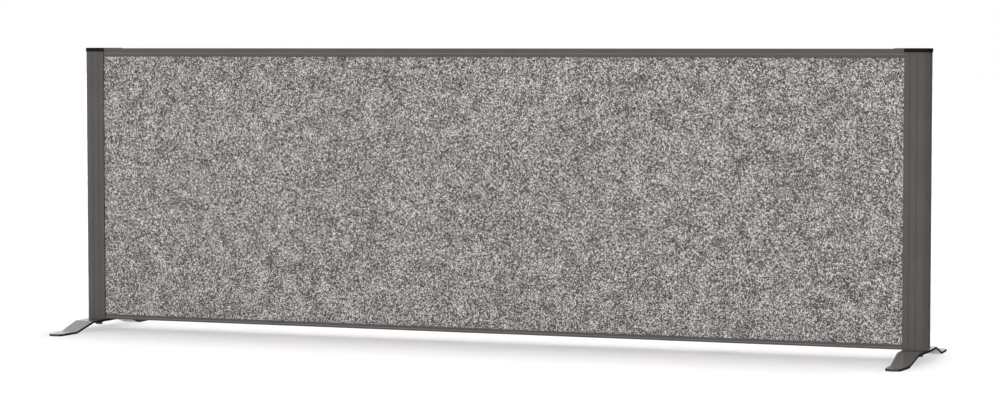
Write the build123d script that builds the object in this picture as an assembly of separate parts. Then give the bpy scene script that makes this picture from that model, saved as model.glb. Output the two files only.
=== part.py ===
from build123d import *
import os

# Acoustic divider screen for a desk: a felt-faced absorber panel between two extruded posts on bent steel feet.
# X runs along the screen, -Y is the front, +Z is up. The origin is on the table, under the middle.
# All sizes are in millimetres.

# Overall sizes, over the posts and over the rails
overall_width = 1600.0
panel_height = 505.0

# How far a cutting body runs past the face it cuts
overrun = 5.0

# Posts: one extrusion, panel channel on the inner side, link channel on the outer side
post_width = 41.0
post_depth = 45.0
post_wall = 1.8
nose_radius = 15.0
panel_channel_depth = 15.0
link_channel_depth = 6.0
post_drop_below_rail_top = 6.0
port_radius = 6.5
port_rib = 3.0

# Decorative grooves along the posts
groove_depth = 0.9
groove_half_width = 1.1
groove_spacing = 12.2
first_groove = 10.2

# Screws that go into the ports at both ends of a post
screw_radius = 4.0
thread_clearance = 0.05
hole_clearance = 0.5
socket_sides = 6

# Feet: a tapered flat bar with four bends
foot_thickness = 4.0
foot_drop = 14.5
foot_flat_length = 126.0
foot_slope_run = 56.0
foot_toe_length = 57.0
foot_width = 42.0
foot_tip_width = 25.5
foot_tip_radius = 10.0
foot_bend_radius = 6.0

# Foot bolts with their washers
bolt_head_radius = 6.5
bolt_head_height = 6.0
bolt_length = 25.0
bolt_socket_flats = 6.0
bolt_socket_depth = 4.0
bolt_edge = 0.6
washer_radius = 8.0
washer_thickness = 1.6

# Rails
rail_wall = 1.6
rail_fit = 0.2
top_rail_height = 15.2
top_rail_lip = 6.5
bottom_rail_height = 8.7
bottom_rail_shoulder_height = 3.2
rail_shoulder = 0.8
rail_edge_radius = 0.8
rail_end_clearance = 1.0

# Carrier plate under each post, with a tongue under the bottom rail
carrier_thickness = 1.0
carrier_margin = 2.0
carrier_tongue = 24.0

# Cranked joining strip from each end of the top rail to the post beside it
strip_thickness = 0.8
strip_head_width = 39.0
strip_head_length = 18.8
strip_width = 20.0
strip_gap = 0.3
strip_corner_radius = 3.0
strip_beyond_screw = 7.0
strip_end_clearance = 1.2

# Countersunk screws through the strips and carrier plates into the rails
flush_head_radius = 3.4
flush_shank_radius = 1.8
flush_from_end = 9.0
flush_spread = 12.0

# Low-headed screws through the strips into the upper ends of the ports
top_head_radius = 7.0
top_head_height = 3.0
top_screw_length = 16.0
top_socket_flats = 4.0
top_socket_depth = 1.8

# Caps
cap_overhang = 1.0
cap_above_rail = 0.8
cap_roof = 1.6
cap_wall = 1.8
cap_edge_chamfer = 0.7
cap_leg_length = 20.0
cap_leg_width = 9.0
cap_leg_fit = 0.3
cap_leg_chamfer = 1.5
cap_leg_chamfer_limit_share = 0.3
cap_rib_width = 1.2
cap_rib_shares = (0.3, 0.8)
cap_rib_length_share = 0.7

# Panel layers, from the middle outwards
core_thickness = 6.0
felt_thickness = 3.2
layer_end_gap = 0.5

# Edge trims inside the panel channels
trim_lip = 11.0
trim_fit = 0.1

# Heights
foot_top = foot_drop + foot_thickness
rail_bottom = foot_top + carrier_thickness
rail_top = rail_bottom + panel_height
post_bottom = rail_bottom
post_top = rail_top - post_drop_below_rail_top
cap_top = rail_top + cap_above_rail
cap_ceiling = cap_top - cap_roof
top_rail_bottom = rail_top - top_rail_height
top_channel_roof = top_rail_bottom + top_rail_lip
bottom_rail_top = rail_bottom + bottom_rail_height
bottom_channel_floor = rail_bottom + rail_wall

# Half depths, measured from the screen's middle plane
half_depth = post_depth / 2
link_half = half_depth - nose_radius
channel_half = half_depth - post_wall
rail_half = channel_half - rail_fit
layer_half = rail_half - rail_wall
trim_outer_half = channel_half - trim_fit
trim_wall = trim_outer_half - layer_half

# Places across a post, measured outwards from its inner face
nose_start = post_width - nose_radius
chamber_start = panel_channel_depth + post_wall
chamber_end = post_width - link_channel_depth - post_wall
port_place = (chamber_start + chamber_end) / 2
port_hole_radius = screw_radius + thread_clearance
bolt_hole_radius = screw_radius + hole_clearance
groove_places = [first_groove, first_groove + groove_spacing]
strip_step = -strip_gap - strip_thickness
strip_end = port_place + strip_beyond_screw

# Half lengths, measured from the screen's middle
inner_half = overall_width / 2 - post_width
rail_end = inner_half + panel_channel_depth - rail_end_clearance
layer_end = inner_half + panel_channel_depth - trim_fit - trim_wall - layer_end_gap
foot_half_length = foot_flat_length / 2 + foot_slope_run + foot_toe_length

SIDES = {"left": -1, "right": 1}
FACES = {"front": -1, "rear": 1}


def save(shape, name):
    shape.label = name
    export_step(shape, f"parts/{name}.step")


def place(shape, side):
    # a piece drawn for the right-hand post, with X measured outwards from the post's inner face
    moved = Pos(inner_half, 0, 0) * shape
    if side < 0:
        return mirror(moved, about=Plane.YZ)
    return moved


def standing(face, bottom, top):
    return extrude(Pos(0, 0, bottom) * face, top - bottom)


def span(low, high, half_width):
    # a rectangle from low to high along its first axis, centred on its second
    return Pos((low + high) / 2, 0) * Rectangle(high - low, 2 * half_width)


def rise(low, high, half_width):
    # a rectangle from low to high along its second axis, centred on its first
    return Pos(0, (low + high) / 2) * Rectangle(2 * half_width, high - low)


def nose_outline(grow):
    # the post's outline without its channels, grown outwards on its three outer sides
    radius = nose_radius + grow
    edge = half_depth + grow
    far = post_width + grow
    front_nose = CenterArc((nose_start, -link_half), radius, -90, 90)
    rear_nose = CenterArc((nose_start, link_half), radius, 0, 90)
    front = Line((0, -edge), (nose_start, -edge))
    end = Line((far, -link_half), (far, link_half))
    back = Polyline((nose_start, edge), (0, edge), (0, -edge))
    return make_face([front, front_nose, end, rear_nose, back])


def chamber_outline():
    # the hollow between the two channels, which runs on into both rounded noses
    radius = nose_radius - post_wall
    step = link_half + post_wall
    reach = (radius**2 - post_wall**2) ** 0.5
    turn = Vector(reach, post_wall).get_angle(Vector(1, 0))
    tip = nose_start + reach
    front = Line((chamber_start, -channel_half), (nose_start, -channel_half))
    front_nose = CenterArc((nose_start, -link_half), radius, -90, 90 - turn)
    step_in = Polyline((tip, -step), (chamber_end, -step), (chamber_end, step), (tip, step))
    rear_nose = CenterArc((nose_start, link_half), radius, turn, 90 - turn)
    back = Polyline((nose_start, channel_half), (chamber_start, channel_half), (chamber_start, -channel_half))
    return make_face([front, front_nose, step_in, rear_nose, back])


def groove(at, inward):
    # a shallow V cut into a face
    u, v = at
    du, dv = inward
    tip = (u + du * groove_depth, v + dv * groove_depth)
    one = (u - dv * groove_half_width, v - du * groove_half_width)
    two = (u + dv * groove_half_width, v + du * groove_half_width)
    return make_face(Polyline(tip, one, two, close=True))


def post_section():
    # panel channel inside, link channel outside, a screw port on two ribs between them
    section = nose_outline(0)
    section -= span(-overrun, panel_channel_depth, channel_half)
    section -= span(post_width - link_channel_depth, post_width + overrun, link_half)
    chamber = chamber_outline()
    chamber -= span(chamber_start, chamber_end, port_rib / 2)
    chamber -= Pos(port_place, 0) * Circle(port_radius)
    section -= chamber
    section -= Pos(port_place, 0) * Circle(port_hole_radius)
    for face in FACES.values():
        for u in groove_places:
            section -= groove((u, face * half_depth), (0, -face))
    return section


def make_post(side):
    return place(standing(post_section(), post_bottom, post_top), side)


def rail_body(section):
    # a section drawn in Y and Z, run along X into both panel channels
    return extrude(Plane.YZ.offset(-rail_end) * section, 2 * rail_end)


def with_shoulders(section, height, top):
    # above the height both faces stand back, over a bevel
    for face in FACES.values():
        outer = face * (rail_half + overrun)
        lip = (face * rail_half, height)
        back = (face * (rail_half - rail_shoulder), height + rail_shoulder)
        step = Polyline((outer, height), lip, back, (back[0], top), (outer, top), close=True)
        section -= make_face(step)
    return section


def flush_screw(plate_thickness):
    # head face at zero height, shank downwards through the plate and the rail's wall
    length = plate_thickness + rail_wall
    cone_height = flush_head_radius - flush_shank_radius
    cone = Pos(0, 0, -cone_height / 2) * Cone(flush_shank_radius, flush_head_radius, cone_height)
    shank = Pos(0, 0, -length / 2) * Cylinder(flush_shank_radius, length)
    return cone + shank


def socket(flats, depth):
    # a hexagonal recess that opens upwards at zero height
    outline = RegularPolygon(flats / 2, socket_sides, major_radius=False)
    return standing(outline, -depth, overrun)


def top_flush_screws():
    u = flush_from_end - strip_head_length
    screw = flush_screw(strip_thickness)
    return [Pos(u, face * flush_spread, rail_top + strip_thickness) * screw for face in FACES.values()]


def bottom_flush_screws():
    u = flush_from_end - carrier_tongue
    screw = mirror(flush_screw(carrier_thickness), about=Plane.XY)
    return [Pos(u, 0, foot_top) * screw]


def make_top_rail():
    section = rise(top_rail_bottom, rail_top, rail_half)
    section = with_shoulders(section, top_channel_roof - rail_shoulder, cap_top)
    section = fillet(section.vertices().group_by(Axis.Y)[-1], rail_edge_radius)
    section -= rise(top_rail_bottom - overrun, top_channel_roof, layer_half)
    section -= rise(top_channel_roof + rail_wall, rail_top - rail_wall, layer_half - rail_shoulder)
    body = rail_body(section)
    # the ends are cut down where they pass under the caps, and slotted for the strips
    end_notch = standing(span(-rail_fit, panel_channel_depth, half_depth), post_top - strip_gap, cap_top)
    slot = standing(span(strip_step - strip_gap, 0, strip_width / 2 + strip_gap), post_top - strip_gap, cap_top)
    for side in SIDES.values():
        for cut in [end_notch, slot, *top_flush_screws()]:
            body -= place(cut, side)
    return body


def make_bottom_rail():
    section = rise(rail_bottom, bottom_rail_top, rail_half)
    section = fillet(section.vertices().group_by(Axis.Y)[0], rail_edge_radius)
    section -= rise(bottom_channel_floor, bottom_rail_top + overrun, layer_half)
    body = rail_body(with_shoulders(section, rail_bottom + bottom_rail_shoulder_height, post_top))
    for side in SIDES.values():
        for cut in bottom_flush_screws():
            body -= place(cut, side)
    return body


def make_carrier_plate(side):
    # lies between the post's end and the foot, and carries the bottom rail on its tongue
    plate = span(0, post_width - carrier_margin, channel_half)
    plate = fillet(plate.vertices().group_by(Axis.X)[-1], nose_radius - carrier_margin)
    tongue = span(-carrier_tongue, 0, strip_width / 2)
    tongue = fillet(tongue.vertices().group_by(Axis.X)[0], strip_corner_radius)
    flat = plate + tongue - Pos(port_place, 0) * Circle(bolt_hole_radius)
    body = standing(flat, foot_top, rail_bottom)
    for cut in bottom_flush_screws():
        body -= cut
    return place(body, side)


def strip_profile():
    # side view of the crank: down beside the cap and on under it, with rounded bends
    upper = rail_top + strip_thickness
    lower = post_top + strip_thickness
    outer_bends = [(strip_step, post_top), (-strip_gap, upper)]
    inner_bends = [(strip_step, rail_top), (-strip_gap, lower)]
    under = [(-strip_head_length, rail_top), inner_bends[0], outer_bends[0], (strip_end, post_top)]
    over = [(strip_end, lower), inner_bends[1], outer_bends[1], (-strip_head_length, upper)]
    profile = make_face(Polyline(*under, *over, close=True))
    for radius, bends in ((strip_gap, inner_bends), (strip_gap + strip_thickness, outer_bends)):
        for u, z in bends:
            profile = fillet(profile.vertices().sort_by_distance((u, z, 0))[0], radius)
    return profile


def make_joining_strip(side):
    # a wide head on the rail, then a narrow crank that ends under the post's upper screw
    crank = extrude(Plane.XZ.offset(-strip_width / 2) * strip_profile(), strip_width)
    head = span(-strip_head_length, strip_step - strip_gap, strip_head_width / 2)
    head = fillet(head.vertices().group_by(Axis.X)[0], strip_corner_radius)
    body = crank + standing(head, rail_top, rail_top + strip_thickness)
    body -= standing(Pos(port_place, 0) * Circle(bolt_hole_radius), post_bottom, cap_top)
    for cut in top_flush_screws():
        body -= cut
    return place(body, side)


def on_both_sides(screws):
    # identical screws at both ends of the screen, kept as separate solids of one group
    return Compound(children=[place(screw, side) for side in SIDES.values() for screw in screws])


def post_screw():
    seat = post_top + strip_thickness
    head = standing(Circle(top_head_radius), seat, seat + top_head_height)
    shank = standing(Circle(screw_radius), seat - top_screw_length, seat)
    recess = Pos(0, 0, seat + top_head_height) * socket(top_socket_flats, top_socket_depth)
    return Pos(port_place, 0, 0) * (head + shank - recess)


def foot_profile():
    # side view: a level middle, a slope down on each side and a level toe
    slope_start = foot_flat_length / 2
    toe_start = slope_start + foot_slope_run
    rear = [(slope_start, foot_top), (toe_start, foot_thickness), (foot_half_length, foot_thickness)]
    front = [(-y, z) for y, z in reversed(rear)]
    upper_side = FilletPolyline(*front, *rear, radius=foot_bend_radius)
    return make_face(offset(upper_side, foot_thickness, side=Side.RIGHT, closed=True))


def foot_plan():
    # full width under the post, tapering to rounded tips
    half = foot_width / 2
    tip = foot_tip_width / 2
    rear = [(half, half_depth), (tip, foot_half_length), (-tip, foot_half_length), (-half, half_depth)]
    front = [(-x, -y) for x, y in rear]
    outline = make_face(Polyline(*rear, *front, close=True))
    ends = outline.vertices().group_by(Axis.Y)
    return fillet(ends[0] + ends[-1], foot_tip_radius)


def make_foot(side):
    bar = extrude(Plane.YZ.offset(-foot_width) * foot_profile(), 2 * foot_width)
    bar = bar & standing(foot_plan(), -overrun, foot_top + overrun)
    foot = Pos(post_width / 2, 0, 0) * bar
    foot -= standing(Pos(port_place, 0) * Circle(bolt_hole_radius), 0, foot_top + overrun)
    return place(foot, side)


def make_foot_washer(side):
    ring = Circle(washer_radius) - Circle(bolt_hole_radius)
    washer = standing(ring, foot_drop - washer_thickness, foot_drop)
    return place(Pos(port_place, 0, 0) * washer, side)


def make_foot_bolt(side):
    # the head hangs under the foot, and the shank runs up into the post's port
    seat = foot_drop - washer_thickness
    head = standing(Circle(bolt_head_radius), seat - bolt_head_height, seat)
    head = chamfer(head.edges().group_by(Axis.Z)[0], bolt_edge)
    shank = standing(Circle(screw_radius), seat, seat + bolt_length)
    recess = mirror(socket(bolt_socket_flats, bolt_socket_depth), about=Plane.XY)
    bolt = head + shank - Pos(0, 0, seat - bolt_head_height) * recess
    return place(Pos(port_place, 0, 0) * bolt, side)


def cap_leg(face):
    # a plug leg for one half of the post's chamber, with ribs that bear on its wall
    section = span(chamber_start + cap_leg_fit, nose_start, cap_leg_width / 2)
    section = Pos(0, face * (channel_half - cap_leg_fit - cap_leg_width / 2)) * section
    leg = standing(section, post_top - cap_leg_length, cap_ceiling)
    # the lead-in is limited by the leg's own wall
    leg_length = nose_start - chamber_start - cap_leg_fit
    lead_in = min(cap_leg_chamfer, cap_leg_chamfer_limit_share * leg_length)
    leg = chamfer(leg.edges().group_by(Axis.Z)[0], lead_in)
    for share in cap_rib_shares:
        u = chamber_start + share * (nose_start - chamber_start)
        rib = Pos(u, face * (channel_half - cap_leg_fit)) * Rectangle(cap_rib_width, 2 * cap_leg_fit)
        leg += standing(rib, post_top - cap_rib_length_share * cap_leg_length, cap_ceiling)
    return leg


def make_cap(side):
    body = standing(nose_outline(cap_overhang), post_top, cap_top)
    body = chamfer(body.edges().group_by(Axis.Z)[-1], cap_edge_chamfer)
    body -= standing(span(cap_wall, chamber_end, channel_half), post_top, cap_ceiling)
    mouth_top = post_top + strip_thickness + strip_gap
    mouth_end = strip_end + strip_end_clearance
    body -= standing(span(-overrun, mouth_end, strip_width / 2 + strip_gap), post_top, mouth_top)
    for face in FACES.values():
        body += cap_leg(face)
    return place(body, side)


def panel_layer(near, far):
    # one full-size sheet of the panel between two depths
    sheet = Pos(0, (near + far) / 2) * Rectangle(2 * layer_end, far - near)
    return standing(sheet, bottom_channel_floor, top_channel_roof - layer_end_gap)


def facing_layer(near, far, face):
    if face < 0:
        return panel_layer(-far, -near)
    return panel_layer(near, far)


def make_edge_trim(side):
    # a U-shaped edging on the panel's upright edge, inside the post's panel channel
    end = panel_channel_depth - trim_fit
    inner_end = end - trim_wall
    section = span(inner_end - trim_lip, end, trim_outer_half)
    section -= span(inner_end - trim_lip - overrun, inner_end, layer_half)
    return place(standing(section, bottom_rail_top + trim_fit, top_rail_bottom - trim_fit), side)


def main():
    os.makedirs("parts", exist_ok=True)
    core_half = core_thickness / 2
    felt_near = layer_half - felt_thickness
    save(make_top_rail(), "top_rail")
    save(make_bottom_rail(), "bottom_rail")
    save(on_both_sides(top_flush_screws()), "top_rail_screws")
    save(on_both_sides(bottom_flush_screws()), "bottom_rail_screws")
    save(on_both_sides([post_screw()]), "post_screws")
    save(panel_layer(-core_half, core_half), "core_board")
    for name, face in FACES.items():
        save(facing_layer(core_half, felt_near, face), f"absorber_{name}")
        save(facing_layer(felt_near, layer_half, face), f"felt_{name}")
    for name, side in SIDES.items():
        save(make_post(side), f"post_{name}")
        save(make_cap(side), f"post_cap_{name}")
        save(make_joining_strip(side), f"joining_strip_{name}")
        save(make_edge_trim(side), f"edge_trim_{name}")
        save(make_carrier_plate(side), f"carrier_plate_{name}")
        save(make_foot(side), f"foot_{name}")
        save(make_foot_washer(side), f"foot_washer_{name}")
        save(make_foot_bolt(side), f"foot_bolt_{name}")


main()
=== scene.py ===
import math

import bmesh
import bpy
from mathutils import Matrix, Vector, noise


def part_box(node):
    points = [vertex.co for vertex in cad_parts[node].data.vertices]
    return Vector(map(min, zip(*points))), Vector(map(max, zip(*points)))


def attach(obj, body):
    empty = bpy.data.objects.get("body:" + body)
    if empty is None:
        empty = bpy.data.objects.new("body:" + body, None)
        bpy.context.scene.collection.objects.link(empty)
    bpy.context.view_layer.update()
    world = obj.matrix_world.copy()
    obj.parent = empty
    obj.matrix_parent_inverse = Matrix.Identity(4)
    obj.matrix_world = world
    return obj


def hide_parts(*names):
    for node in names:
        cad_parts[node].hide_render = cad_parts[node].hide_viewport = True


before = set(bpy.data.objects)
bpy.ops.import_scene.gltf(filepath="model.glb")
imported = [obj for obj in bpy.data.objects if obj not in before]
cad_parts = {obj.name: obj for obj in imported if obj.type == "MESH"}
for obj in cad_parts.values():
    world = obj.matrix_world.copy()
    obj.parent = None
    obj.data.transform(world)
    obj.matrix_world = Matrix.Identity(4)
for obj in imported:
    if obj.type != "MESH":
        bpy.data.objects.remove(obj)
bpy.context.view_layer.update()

# Lengths are in metres. Camera and lamp angles are in degrees, those of fibres in radians.
# Tones are in display levels, 0 to 255. A weight says how far a variation about 0.5 moves a level.

# Camera, found from the corners of the posts, rails and feet in the photograph
camera_place = (1.8985, -4.7748, 0.5324)
camera_tilt_down = 3.2426
camera_turn = 21.4178
camera_lens = 104.2648
camera_sensor = 36.0
camera_reach = 200.0

# Light: a pale sky that is dimmer at both sides, and lamps by their tilt from overhead towards the
# front, share of the light and spread
sky_level = 0.4
sky_side_start, sky_side_full = 0.2, 0.75
mirrored_side_start, mirrored_side_full = 0.55, 0.9
lamps = {
    "overhead": (-10.0, 1.0, 52.0),
    "front": (78.0, 0.51, 36.0),
    "rear": (-78.0, 0.42, 36.0),
}

# Floor: how it lights the object, and how it shows itself with the shadow on it
floor_half_width = 40.0
floor_colour = 0.3
floor_shown_colour = (0.856, 0.84, 0.85)
floor_far_softness = 0.5
floor_near_softness = 0.36
floor_near_share = 0.55

# Faces told apart by their normals: cut sides by the X part, rolled faces by the Z part, and bevels by
# how far the Z part is from that of 45 degrees
# The cut sides of the feet get painted shade.
side_start, side_full = 0.5, 0.8
rolled_start, rolled_full = 0.2, 0.5
# The upward bevels get a painted highlight on the coat.
bevel_height = math.sqrt(0.5)
bevel_near, bevel_far = 0.03, 0.06
edge_samples = 6

# Link channels along the posts' outer edges, where painted light makes the coat lighter than the rest
link_channel_start = 0.7938
link_channel_half = 0.00755

# The centre of every variation, and the part of it over which a tone goes from low to high
middle = 0.5
tone_start, tone_end = 0.3, 0.7

# Powder coat: orange peel, fine speckle and soft clouding, also under the gloss of the feet
coat_grains = {
    "peel": {"size": 0.0016, "detail": 1.0},
    "speckle": {"size": 0.0004, "detail": 2.0, "roughness": 0.7},
    "cloud": {"size": 0.05, "detail": 3.0},
}
coat_colour_weights = {"speckle": 0.5, "cloud": 0.4, "peel": 0.2}
coat_relief_weights = {"peel": 0.8, "speckle": 0.3}
coat_dullness_weights = {"cloud": 0.1, "speckle": 0.08}
coat_tone_shares = (0.86, 1.14)
coat_relief = {"strength": 0.2, "distance": 0.0001}
coat_edge = {"radius": 0.0004, "gain": 2.2}
coat_dullness = 0.5
coat_mirroring = 0.12
coat_tones = {
    "plain": (102, 99, 97),
    # lighter edges, partly wear and partly painted highlight
    "edge": (118, 116, 114),
    # painted highlight on the upward bevels
    "bevel": (134, 132, 130),
    # painted light inside the link channels
    "channel": (128, 127, 125),
}

# Feet: dull under a clear gloss on the rolled faces, darker on the cut sides as painted shade
foot_edge = {"radius": 0.0004, "gain": 1.5}
foot_dullness = 0.6
foot_gloss_dullness = 0.2
foot_gloss_ior = 2.0
foot_tones = {"plain": (86, 84, 82), "edge": (100, 98, 96), "cut": (52, 51, 50)}

# Cap plastic: eroded grain and faint flow clouds
plastic_grains = {
    "erosion": {"size": 0.0005, "detail": 3.0, "roughness": 0.65},
    "flow": {"size": 0.012, "detail": 2.0, "distortion": 0.6},
}
plastic_colour_weights = {"erosion": 0.6, "flow": 0.5}
plastic_dullness_weights = {"erosion": 0.2, "flow": 0.12}
plastic_tone_shares = (0.8, 1.25)
plastic_relief = {"strength": 0.3, "distance": 0.00015}
plastic_edge = {"radius": 0.0006, "gain": 2.0}
plastic_dullness = 0.55
plastic_tones = {"plain": (38, 37, 36), "edge": (50, 49, 47)}

# Metals: drawn lines, whose size along X, Y and Z gives their direction, over dull patches
metal_line_detail = 3.0
metal_patch = {"size": 0.007, "detail": 4.0, "roughness": 0.6}
metal_colour_weights = {"drawn": 0.7, "patch": 0.6}
metal_dullness_weights = {"drawn": 0.15, "patch": 0.2}
metal_tone_shares = (0.8, 1.2)
metal_relief = {"strength": 0.15, "distance": 0.0001}
metal_edge = {"radius": 0.0004, "gain": 2.5}
metals = {
    "bolt_steel": {
        "tones": {"plain": (84, 83, 81), "edge": (105, 103, 100)},
        "dullness": 0.36, "lines": (0.0008, 0.0008, 0.006), "metallic": 1.0,
    },
    "plate_steel": {
        "tones": {"plain": (86, 85, 84), "edge": (120, 119, 117)},
        "dullness": 0.45, "lines": (0.02, 0.001, 0.001), "metallic": 0.6,
    },
    "trim_aluminium": {
        "tones": {"plain": (190, 190, 193), "edge": (220, 220, 220)},
        "dullness": 0.3, "lines": (0.001, 0.001, 0.05), "metallic": 1.0,
    },
}

# Fibreboard: short crossed flecks, by length, width and depth, over a cloudy ground
fleck_angles = (0.4, 1.5, 2.6)
fleck_size = (0.006, 0.0008, 0.002)
fleck_detail = 2.0
fleck_weight = 0.6
board_ground = {"size": 0.03, "detail": 3.0}
board_ground_weight = 0.4
board_tones = [(0.25, (112, 86, 60)), (0.5, (146, 118, 86)), (0.8, (181, 154, 119))]
board_dullness = 0.85
board_relief = {"strength": 0.3, "distance": 0.0003}

# Fleece: long loose fibres that cross, with soft hollows between them
fleece_fibre_angles = (0.2, 1.1, 2.1, 2.8)
fleece_fibre_size = (0.02, 0.0006, 0.004)
fleece_fibre_detail = 1.0
fleece_fibre_weight = 0.7
fleece_hollows = {"size": 0.01, "detail": 3.0}
fleece_hollow_weight = 0.6
fleece_tones = [(0.2, (176, 175, 171)), (0.5, (206, 205, 201)), (0.8, (228, 227, 224))]
fleece_dullness = 0.95
fleece_sheen = 0.3
fleece_surface_relief = {"strength": 0.6, "distance": 0.001}

# Felt: tufts, crossed fibres that wander, clumps and clouds, and a few pale stray fibres
felt_wander_size, felt_wander_detail = 0.00625, 1.0
felt_wander_reach = 0.006
felt_tuft = {"size": 0.0015, "detail": 0.0}
felt_tuft_weight = 4.0
felt_fibre_angles = (0.15, 0.75, 1.35, 1.95, 2.6)
felt_fibre_size = (0.006, 0.0014, 0.01)
felt_fibre_detail = 0.0
felt_fibre_weight = 1.5
felt_clump = {"size": 0.008, "detail": 1.0}
felt_clump_weight = 0.5
felt_cloud = {"size": 0.025, "detail": 1.0}
felt_cloud_weight = 1.0
felt_centre = 0.31
stray_angles = (0.5, 2.2)
stray_size = (0.009, 0.0016, 0.01)
stray_start, stray_full = 0.63, 0.72
stray_rise = 0.5
felt_tones = [
    (0.0, (89, 83, 80)),
    (0.25, (115, 109, 106)),
    (0.5, (141, 136, 133)),
    (0.75, (182, 178, 175)),
    (1.0, (246, 243, 240)),
]
felt_dullness = 0.95
felt_sheen, felt_sheen_dullness = 0.08, 0.6
felt_surface_relief = {"strength": 0.5, "distance": 0.0006}

# Meshes of the felt faces and the fleece pads: grid steps, shallow waves as many to a metre, thin edges
# on the pads, and the Y part of a normal above which a face is shaded smooth
felt_step = 0.007
felt_wave_depth = 0.00035
fleece_step = 0.02
fleece_wave_depth = 0.0008
fleece_edge_reach = 0.03
fleece_edge_drop = 0.35
short_waves, long_waves = 45, 14
wave_weight = 0.6
smooth_limit = 0.5
front_seed, rear_seed = 3.0, 11.0


# Shader helpers

def new_surface(name):
    """A material with an empty node tree."""
    material = bpy.data.materials.new(name)
    material.use_nodes = True
    material.node_tree.nodes.clear()
    return material


def add(tree, kind, inputs=None, **settings):
    """Adds one node. An input is a plain value, or another node's output that is joined to it."""
    made = tree.nodes.new(kind)
    for key, value in settings.items():
        setattr(made, key, value)
    for socket, value in (inputs or {}).items():
        if isinstance(value, bpy.types.NodeSocket):
            tree.links.new(value, made.inputs[socket])
        else:
            made.inputs[socket].default_value = value
    return made


def object_place(tree):
    return add(tree, "ShaderNodeTexCoord").outputs["Object"]


def computed(tree, operation, first, second, limit=False):
    """One operation on two values, with the result kept within 0 to 1 if asked."""
    inputs = {0: first, 1: second}
    return add(tree, "ShaderNodeMath", inputs, operation=operation, use_clamp=limit).outputs[0]


def unsigned(tree, value):
    """A value without its sign."""
    return computed(tree, "ABSOLUTE", value, 0.0)


def part_along(tree, vector, axis):
    return add(tree, "ShaderNodeSeparateXYZ", {0: vector}).outputs[axis]


def between(tree, share, first, second):
    """The first value at share 0, the second at share 1."""
    return add(tree, "ShaderNodeMix", {0: share, 2: first, 3: second}).outputs[0]


def rising(tree, value, start, full, height=1.0):
    """0 up to the start, then rising to the height."""
    inputs = {0: value, 1: start, 2: full, 3: 0.0, 4: height}
    return add(tree, "ShaderNodeMapRange", inputs).outputs[0]


def falling(tree, value, start, full, kind="LINEAR"):
    """1 up to the start, then falling to 0."""
    inputs = {0: value, 1: start, 2: full, 3: 1.0, 4: 0.0}
    return add(tree, "ShaderNodeMapRange", inputs, interpolation_type=kind).outputs[0]


def grain(tree, place, size, detail=2.0, roughness=0.5, distortion=0.0):
    """Cloudy variation about 0.5, with features of one size."""
    inputs = {
        "Vector": place,
        "Scale": 1 / size,
        "Detail": detail,
        "Roughness": roughness,
        "Distortion": distortion,
    }
    return add(tree, "ShaderNodeTexNoise", inputs).outputs["Fac"]


def grains(tree, place, kinds):
    """Named layers of cloudy variation."""
    return {name: grain(tree, place, **kind) for name, kind in kinds.items()}


def fibres(tree, place, angle, size, detail):
    """Variation about 0.5 in fibres of a length, width and depth that lie at an angle about Y."""
    length, width, depth = size
    inputs = {"Vector": place, "Rotation": (0, angle, 0), "Scale": (length, depth, width)}
    laid = add(tree, "ShaderNodeMapping", inputs, vector_type="TEXTURE").outputs[0]
    return grain(tree, laid, 1.0, detail)


def blend_of(tree, centre, parts):
    """The centre plus each variation about 0.5, times its weight."""
    total = centre - sum(weight for _, weight in parts) / 2
    for value, weight in parts:
        inputs = {0: value, 1: weight, 2: total}
        total = add(tree, "ShaderNodeMath", inputs, operation="MULTIPLY_ADD").outputs[0]
    return total


def weighed(layers, weights):
    """Pairs of a named layer and its weight."""
    return [(layers[name], weight) for name, weight in weights.items()]


def linear(tone):
    """A tone in display levels, as linear values."""
    shares = [level / 255 for level in tone]
    return tuple(s / 12.92 if s <= 0.04045 else ((s + 0.055) / 1.055) ** 2.4 for s in shares)


def ramp(tree, value, stops):
    """A colour ramp through (place, linear colour) stops."""
    made = add(tree, "ShaderNodeValToRGB", {0: value})
    elements = made.color_ramp.elements
    while len(elements) < len(stops):
        elements.new(1.0)
    for element, (place, colour) in zip(elements, stops):
        element.position = place
        element.color = (*colour, 1.0)
    return made.outputs[0]


def toned(tree, level, tones):
    """A colour ramp through (place, tone) stops."""
    return ramp(tree, level, [(place, linear(tone)) for place, tone in tones])


def varied(tree, level, tone, shares):
    """A tone that goes from its lower to its upper share as the level rises."""
    low, high = (tuple(part * share for part in linear(tone)) for share in shares)
    return ramp(tree, level, [(tone_start, low), (tone_end, high)])


def mixed(tree, share, first, tone):
    """The first colour at share 0, the tone at share 1."""
    made = add(tree, "ShaderNodeMix", {0: share}, data_type="RGBA")
    colours = [socket for socket in made.inputs if socket.type == "RGBA"]
    tree.links.new(first, colours[0])
    colours[1].default_value = (*linear(tone), 1.0)
    return [socket for socket in made.outputs if socket.type == "RGBA"][0]


def raised(tree, height, strength, distance):
    inputs = {"Height": height, "Strength": strength, "Distance": distance}
    return add(tree, "ShaderNodeBump", inputs).outputs[0]


def worn_and_highlit_edge_share(tree, radius, gain):
    """0 on flat faces, rising towards 1 on outer and inner edges within the radius; it sets where edges
    are lightened, partly as wear and partly as painted highlight.
    """
    rounded = add(tree, "ShaderNodeBevel", {"Radius": radius}, samples=edge_samples).outputs[0]
    normal = add(tree, "ShaderNodeNewGeometry").outputs["Normal"]
    product = add(tree, "ShaderNodeVectorMath", {0: rounded, 1: normal}, operation="DOT_PRODUCT")
    away = computed(tree, "SUBTRACT", 1.0, product.outputs["Value"])
    return computed(tree, "MULTIPLY", away, gain, limit=True)


def painted_shade_side_share(tree):
    """1 on the sides that look along the object's own X, 0 on its other faces; on the feet it sets the
    painted shade of the cut sides.
    """
    normal = add(tree, "ShaderNodeTexCoord").outputs["Normal"]
    return rising(tree, unsigned(tree, part_along(tree, normal, "X")), side_start, side_full)


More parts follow.
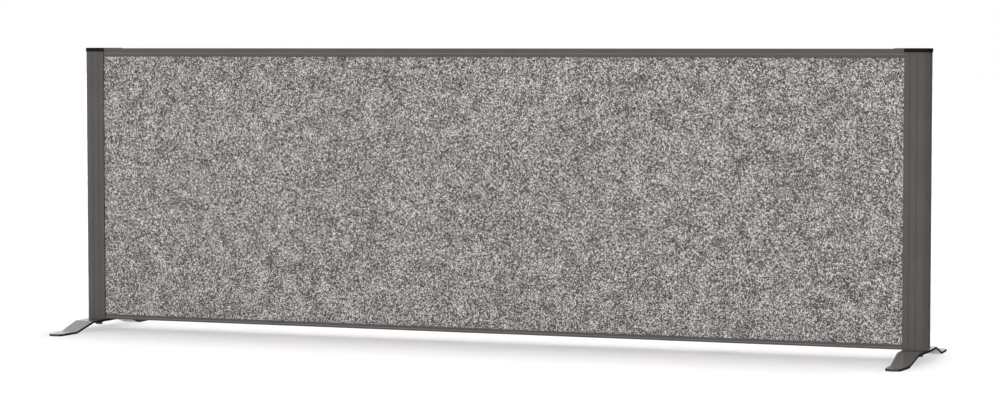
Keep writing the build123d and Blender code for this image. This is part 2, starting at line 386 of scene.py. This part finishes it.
def world_height(tree):
    """The upward part of a face's normal."""
    return part_along(tree, add(tree, "ShaderNodeNewGeometry").outputs["Normal"], "Z")


def rolled_share(tree):
    """1 on faces that look up or down, 0 on upright ones."""
    return rising(tree, unsigned(tree, world_height(tree)), rolled_start, rolled_full)


def bevel_share(tree):
    """1 on bevels that look up at 45 degrees, where the coat gets a painted highlight."""
    away = unsigned(tree, computed(tree, "SUBTRACT", world_height(tree), bevel_height))
    return falling(tree, away, bevel_near, bevel_far)


def channel_share(tree, place):
    """1 inside the posts' link channels, where the coat gets painted light."""
    outward = unsigned(tree, part_along(tree, place, "X"))
    across = unsigned(tree, part_along(tree, place, "Y"))
    beyond = computed(tree, "GREATER_THAN", outward, link_channel_start)
    inside = computed(tree, "LESS_THAN", across, link_channel_half)
    return computed(tree, "MULTIPLY", beyond, inside)


def shade(tree, inputs):
    shader = add(tree, "ShaderNodeBsdfPrincipled", inputs)
    add(tree, "ShaderNodeOutputMaterial", {"Surface": shader.outputs[0]})


# Materials

def coat_layers(tree, place, tone):
    """A powder coat's colour, its relief and its layers."""
    layers = grains(tree, place, coat_grains)
    level = blend_of(tree, middle, weighed(layers, coat_colour_weights))
    height = blend_of(tree, middle, weighed(layers, coat_relief_weights))
    return varied(tree, level, tone, coat_tone_shares), raised(tree, height, **coat_relief), layers


def powder_coat(name, tones):
    """Satin powder coat: thin lighter edges, partly wear and partly painted highlight, a painted
    highlight on the upward bevels, and painted light in the link channels.
    """
    surface = new_surface(name)
    tree = surface.node_tree
    place = object_place(tree)
    colour, relief, layers = coat_layers(tree, place, tones["plain"])
    colour = mixed(tree, channel_share(tree, place), colour, tones["channel"])
    colour = mixed(tree, bevel_share(tree), colour, tones["bevel"])
    inputs = {
        "Base Color": mixed(tree, worn_and_highlit_edge_share(tree, **coat_edge), colour, tones["edge"]),
        "Roughness": blend_of(tree, coat_dullness, weighed(layers, coat_dullness_weights)),
        "Specular IOR Level": coat_mirroring,
        "Normal": relief,
    }
    shade(tree, inputs)
    return surface


def foot_paint(name, tones):
    """Glossy coat on the rolled faces of the bar, with dull cut sides darkened as painted shade, and
    lighter edges, partly wear and partly painted highlight.
    """
    surface = new_surface(name)
    tree = surface.node_tree
    colour, relief, layers = coat_layers(tree, object_place(tree), tones["plain"])
    colour = mixed(tree, worn_and_highlit_edge_share(tree, **foot_edge), colour, tones["edge"])
    inputs = {
        "Base Color": mixed(tree, painted_shade_side_share(tree), colour, tones["cut"]),
        "Roughness": blend_of(tree, foot_dullness, weighed(layers, coat_dullness_weights)),
        "Specular IOR Level": 0.0,
        "Coat Weight": rolled_share(tree),
        "Coat Roughness": foot_gloss_dullness,
        "Coat IOR": foot_gloss_ior,
        "Normal": relief,
    }
    shade(tree, inputs)
    return surface


def moulded_plastic(name, tones):
    """Black moulded plastic with paler edges, partly wear and partly painted highlight."""
    surface = new_surface(name)
    tree = surface.node_tree
    layers = grains(tree, object_place(tree), plastic_grains)
    level = blend_of(tree, middle, weighed(layers, plastic_colour_weights))
    colour = varied(tree, level, tones["plain"], plastic_tone_shares)
    inputs = {
        "Base Color": mixed(tree, worn_and_highlit_edge_share(tree, **plastic_edge), colour, tones["edge"]),
        "Roughness": blend_of(tree, plastic_dullness, weighed(layers, plastic_dullness_weights)),
        "Specular IOR Level": 0.0,
        "Normal": raised(tree, layers["erosion"], **plastic_relief),
    }
    shade(tree, inputs)
    return surface


def worked_metal(name, tones, dullness, lines, metallic):
    """Bare or plated metal: drawn lines one way, dull patches and bright edges, partly rubbed and
    partly painted highlight.
    """
    surface = new_surface(name)
    tree = surface.node_tree
    place = object_place(tree)
    inputs = {"Vector": place, "Scale": lines}
    laid = add(tree, "ShaderNodeMapping", inputs, vector_type="TEXTURE").outputs[0]
    layers = {
        "drawn": grain(tree, laid, 1.0, metal_line_detail),
        "patch": grain(tree, place, **metal_patch),
    }
    level = blend_of(tree, middle, weighed(layers, metal_colour_weights))
    colour = varied(tree, level, tones["plain"], metal_tone_shares)
    inputs = {
        "Base Color": mixed(tree, worn_and_highlit_edge_share(tree, **metal_edge), colour, tones["edge"]),
        "Metallic": metallic,
        "Roughness": blend_of(tree, dullness, weighed(layers, metal_dullness_weights)),
        "Normal": raised(tree, layers["drawn"], **metal_relief),
    }
    shade(tree, inputs)
    return surface


def fibreboard(name):
    """Pressed wood fibres over a brown ground."""
    surface = new_surface(name)
    tree = surface.node_tree
    place = object_place(tree)
    parts = [
        (fibres(tree, place, angle, fleck_size, fleck_detail), fleck_weight)
        for angle in fleck_angles
    ]
    parts.append((grain(tree, place, **board_ground), board_ground_weight))
    level = blend_of(tree, middle, parts)
    inputs = {
        "Base Color": toned(tree, level, board_tones),
        "Roughness": board_dullness,
        "Normal": raised(tree, level, **board_relief),
    }
    shade(tree, inputs)
    return surface


def fleece(name):
    """Pale polyester fleece."""
    surface = new_surface(name)
    tree = surface.node_tree
    place = object_place(tree)
    parts = [
        (fibres(tree, place, angle, fleece_fibre_size, fleece_fibre_detail), fleece_fibre_weight)
        for angle in fleece_fibre_angles
    ]
    parts.append((grain(tree, place, **fleece_hollows), fleece_hollow_weight))
    level = blend_of(tree, middle, parts)
    inputs = {
        "Base Color": toned(tree, level, fleece_tones),
        "Roughness": fleece_dullness,
        "Sheen Weight": fleece_sheen,
        "Normal": raised(tree, level, **fleece_surface_relief),
    }
    shade(tree, inputs)
    return surface


def wandering(tree, place):
    """The place shifted a little, so that fibres bend."""
    inputs = {"Vector": place, "Scale": 1 / felt_wander_size, "Detail": felt_wander_detail}
    wander = add(tree, "ShaderNodeTexNoise", inputs).outputs["Color"]
    inputs = {0: wander, 1: (middle, middle, middle)}
    centred = add(tree, "ShaderNodeVectorMath", inputs, operation="SUBTRACT").outputs[0]
    inputs = {0: centred, "Scale": felt_wander_reach}
    shift = add(tree, "ShaderNodeVectorMath", inputs, operation="SCALE").outputs[0]
    return add(tree, "ShaderNodeVectorMath", {0: place, 1: shift}, operation="ADD").outputs[0]


def needle_felt(name):
    """Mottled needle felt: tufts about a millimetre wide, fibres, clumps and stray pale fibres."""
    surface = new_surface(name)
    tree = surface.node_tree
    place = object_place(tree)
    bent = wandering(tree, place)
    parts = [(grain(tree, bent, **felt_tuft), felt_tuft_weight)]
    for angle in felt_fibre_angles:
        layer = fibres(tree, bent, angle, felt_fibre_size, felt_fibre_detail)
        parts.append((layer, felt_fibre_weight))
    parts.append((grain(tree, place, **felt_clump), felt_clump_weight))
    parts.append((grain(tree, place, **felt_cloud), felt_cloud_weight))
    level = blend_of(tree, felt_centre, parts)
    for angle in stray_angles:
        stray = fibres(tree, bent, angle, stray_size, felt_fibre_detail)
        pale = rising(tree, stray, stray_start, stray_full, stray_rise)
        level = computed(tree, "ADD", level, pale)
    inputs = {
        "Base Color": toned(tree, level, felt_tones),
        "Roughness": felt_dullness,
        "Sheen Weight": felt_sheen,
        "Sheen Roughness": felt_sheen_dullness,
        "Normal": raised(tree, level, **felt_surface_relief),
    }
    shade(tree, inputs)
    return surface


# Soft pieces

def slab_face(mesh, columns, rows, place):
    """One grid of vertices; place(column, row) gives each point."""
    return [[mesh.verts.new(place(i, j)) for j in range(rows + 1)] for i in range(columns + 1)]


def waves_at(x, z, seed, side):
    """Short and long waves together, at one point of one face."""
    short = noise.noise(Vector((x * short_waves, seed + side, z * short_waves)))
    long = noise.noise(Vector((x * long_waves, seed - side, z * long_waves)))
    return short + long


def join_faces(mesh, front, back, columns, rows):
    """Fills both grids with faces and closes the rim between them."""
    for i in range(columns):
        for j in range(rows):
            mesh.faces.new((front[i][j], front[i + 1][j], front[i + 1][j + 1], front[i][j + 1]))
            mesh.faces.new((back[i][j], back[i][j + 1], back[i + 1][j + 1], back[i + 1][j]))
    rim = [(i, 0) for i in range(columns)] + [(columns, j) for j in range(rows)]
    rim += [(i, rows) for i in range(columns, 0, -1)] + [(0, j) for j in range(rows, 0, -1)]
    for (i, j), (k, m) in zip(rim, rim[1:] + rim[:1]):
        mesh.faces.new((front[k][m], front[i][j], back[i][j], back[k][m]))


def soft_slab(name, low, high, step, wave_depth, seed, reach=0.0, drop=0.0):
    """A closed slab in a box: both faces undulate inwards, its edges thin down within the reach."""
    size = high - low
    columns, rows = (max(2, round(length / step)) for length in (size.x, size.z))
    centre, half = (low.y + high.y) / 2, size.y / 2

    def point(side):
        def place(i, j):
            x, z = low.x + size.x * i / columns, low.z + size.z * j / rows
            inset = min(x - low.x, high.x - x, z - low.z, high.z - z)
            closing = drop * (1 - min(inset / reach, 1.0)) ** 2 if reach else 0.0
            wave = middle + wave_weight * waves_at(x, z, seed, side)
            sunk = wave_depth * min(1.0, max(0.0, wave))
            return (x, centre + side * (half * (1 - closing) - sunk), z)
        return place

    mesh = bmesh.new()
    front, back = (slab_face(mesh, columns, rows, point(side)) for side in (-1, 1))
    join_faces(mesh, front, back, columns, rows)
    bmesh.ops.recalc_face_normals(mesh, faces=mesh.faces)
    for face in mesh.faces:
        face.smooth = abs(face.normal.y) > smooth_limit
    data = bpy.data.meshes.new(name)
    mesh.to_mesh(data)
    mesh.free()
    piece = bpy.data.objects.new(name, data)
    bpy.context.scene.collection.objects.link(piece)
    return piece


def dress(piece, surface, node):
    piece.data.materials.append(surface)
    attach(piece, "screen")
    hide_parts(node)


def make_felt(side, seed, surface):
    node = "felt_" + side
    low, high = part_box(node)
    piece = soft_slab("felt_skin_" + side, low, high, felt_step, felt_wave_depth, seed)
    dress(piece, surface, node)


def make_fleece(side, seed, surface):
    node = "absorber_" + side
    low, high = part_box(node)
    piece = soft_slab(
        "fleece_pad_" + side, low, high, fleece_step, fleece_wave_depth, seed,
        fleece_edge_reach, fleece_edge_drop,
    )
    dress(piece, surface, node)
    return piece


def make_soft_pieces():
    felt_surface, fleece_surface = needle_felt("needle_felt"), fleece("fleece")
    for side, seed in (("front", front_seed), ("rear", rear_seed)):
        pad = make_fleece(side, seed, fleece_surface)
        make_felt(side, seed + 1, felt_surface)


# Hard pieces

def put_on(surface, *nodes):
    for node in nodes:
        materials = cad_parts[node].data.materials
        materials.clear()
        materials.append(surface)


def both(name):
    return [name + "_left", name + "_right"]


def finish_hard_pieces():
    coat = powder_coat("powder_coat", coat_tones)
    put_on(coat, *both("post"), *both("joining_strip"), "top_rail", "bottom_rail")
    put_on(foot_paint("foot_paint", foot_tones), *both("foot"))
    put_on(moulded_plastic("cap_plastic", plastic_tones), *both("post_cap"))
    dark, plated, mill = (worked_metal(name, **metal) for name, metal in metals.items())
    put_on(dark, *both("foot_bolt"), *both("foot_washer"))
    put_on(dark, "post_screws", "top_rail_screws", "bottom_rail_screws")
    put_on(plated, *both("carrier_plate"))
    put_on(mill, *both("edge_trim"))
    put_on(fibreboard("core_board"), "core_board")


# Stage

def shown_ray(tree):
    """1 for rays that show the surroundings themselves: seen, mirrored or through glass."""
    path = add(tree, "ShaderNodeLightPath").outputs
    seen = computed(tree, "ADD", path["Is Camera Ray"], path["Is Glossy Ray"], limit=True)
    return computed(tree, "ADD", seen, path["Is Transmission Ray"], limit=True)


def sky_share(tree, start, full):
    """1 over most of the sky, falling to 0 at both sides."""
    towards = add(tree, "ShaderNodeTexCoord").outputs["Generated"]
    sideways = unsigned(tree, part_along(tree, towards, "X"))
    return falling(tree, sideways, start, full, "SMOOTHSTEP")


def make_sky():
    world = bpy.data.worlds.new("sky")
    world.use_nodes = True
    tree = world.node_tree
    tree.nodes.clear()
    seen = add(tree, "ShaderNodeLightPath").outputs["Is Camera Ray"]
    light = computed(tree, "MULTIPLY", sky_share(tree, sky_side_start, sky_side_full), sky_level)
    mirrored = sky_share(tree, mirrored_side_start, mirrored_side_full)
    strength = between(tree, seen, between(tree, shown_ray(tree), light, mirrored), 1.0)
    sky = add(tree, "ShaderNodeBackground", {"Color": (1, 1, 1, 1), "Strength": strength})
    add(tree, "ShaderNodeOutputWorld", {"Surface": sky.outputs[0]})
    bpy.context.scene.world = world


def make_lamps():
    for name, (tilt, share, spread) in lamps.items():
        lamp = bpy.data.lights.new(name, "SUN")
        lamp.energy = math.pi * share
        lamp.angle = math.radians(spread)
        holder = bpy.data.objects.new(name, lamp)
        holder.rotation_euler = (math.radians(tilt), 0, 0)
        holder.visible_glossy = False
        bpy.context.scene.collection.objects.link(holder)


def soft_white(tree, reach):
    """The shown floor, with its shadow softened over one reach."""
    inputs = {"Color": (*floor_shown_colour, 1), "Scale": 1.0, "Radius": (reach, reach, reach)}
    return add(tree, "ShaderNodeSubsurfaceScattering", inputs, falloff="BURLEY").outputs[0]


def floor_surface():
    """Plain for the light on the object, soft white with the shadow where it is seen."""
    surface = new_surface("floor_white")
    tree = surface.node_tree
    colour = (floor_colour, floor_colour, floor_colour, 1)
    plain = add(tree, "ShaderNodeBsdfDiffuse", {"Color": colour}).outputs[0]
    far, near = (soft_white(tree, reach) for reach in (floor_far_softness, floor_near_softness))
    shown = add(tree, "ShaderNodeMixShader", {0: floor_near_share, 1: far, 2: near}).outputs[0]
    inputs = {0: shown_ray(tree), 1: plain, 2: shown}
    both_kinds = add(tree, "ShaderNodeMixShader", inputs).outputs[0]
    add(tree, "ShaderNodeOutputMaterial", {"Surface": both_kinds})
    return surface


def make_floor():
    reach = floor_half_width
    corners = [(-reach, -reach, 0), (reach, -reach, 0), (reach, reach, 0), (-reach, reach, 0)]
    data = bpy.data.meshes.new("floor")
    data.from_pydata(corners, [], [(0, 1, 2, 3)])
    data.materials.append(floor_surface())
    floor = bpy.data.objects.new("floor", data)
    bpy.context.scene.collection.objects.link(floor)


def make_camera():
    data = bpy.data.cameras.new("camera")
    data.lens = camera_lens
    data.sensor_width = camera_sensor
    data.clip_end = camera_reach
    camera = bpy.data.objects.new("camera", data)
    camera.location = camera_place
    tilt, turn = math.radians(90 - camera_tilt_down), math.radians(camera_turn)
    camera.rotation_euler = (tilt, 0, turn)
    bpy.context.scene.collection.objects.link(camera)
    bpy.context.scene.camera = camera


def set_the_stage():
    make_camera()
    make_sky()
    make_lamps()
    make_floor()
    bpy.context.scene.view_settings.view_transform = "Standard"


set_the_stage()
finish_hard_pieces()
make_soft_pieces()
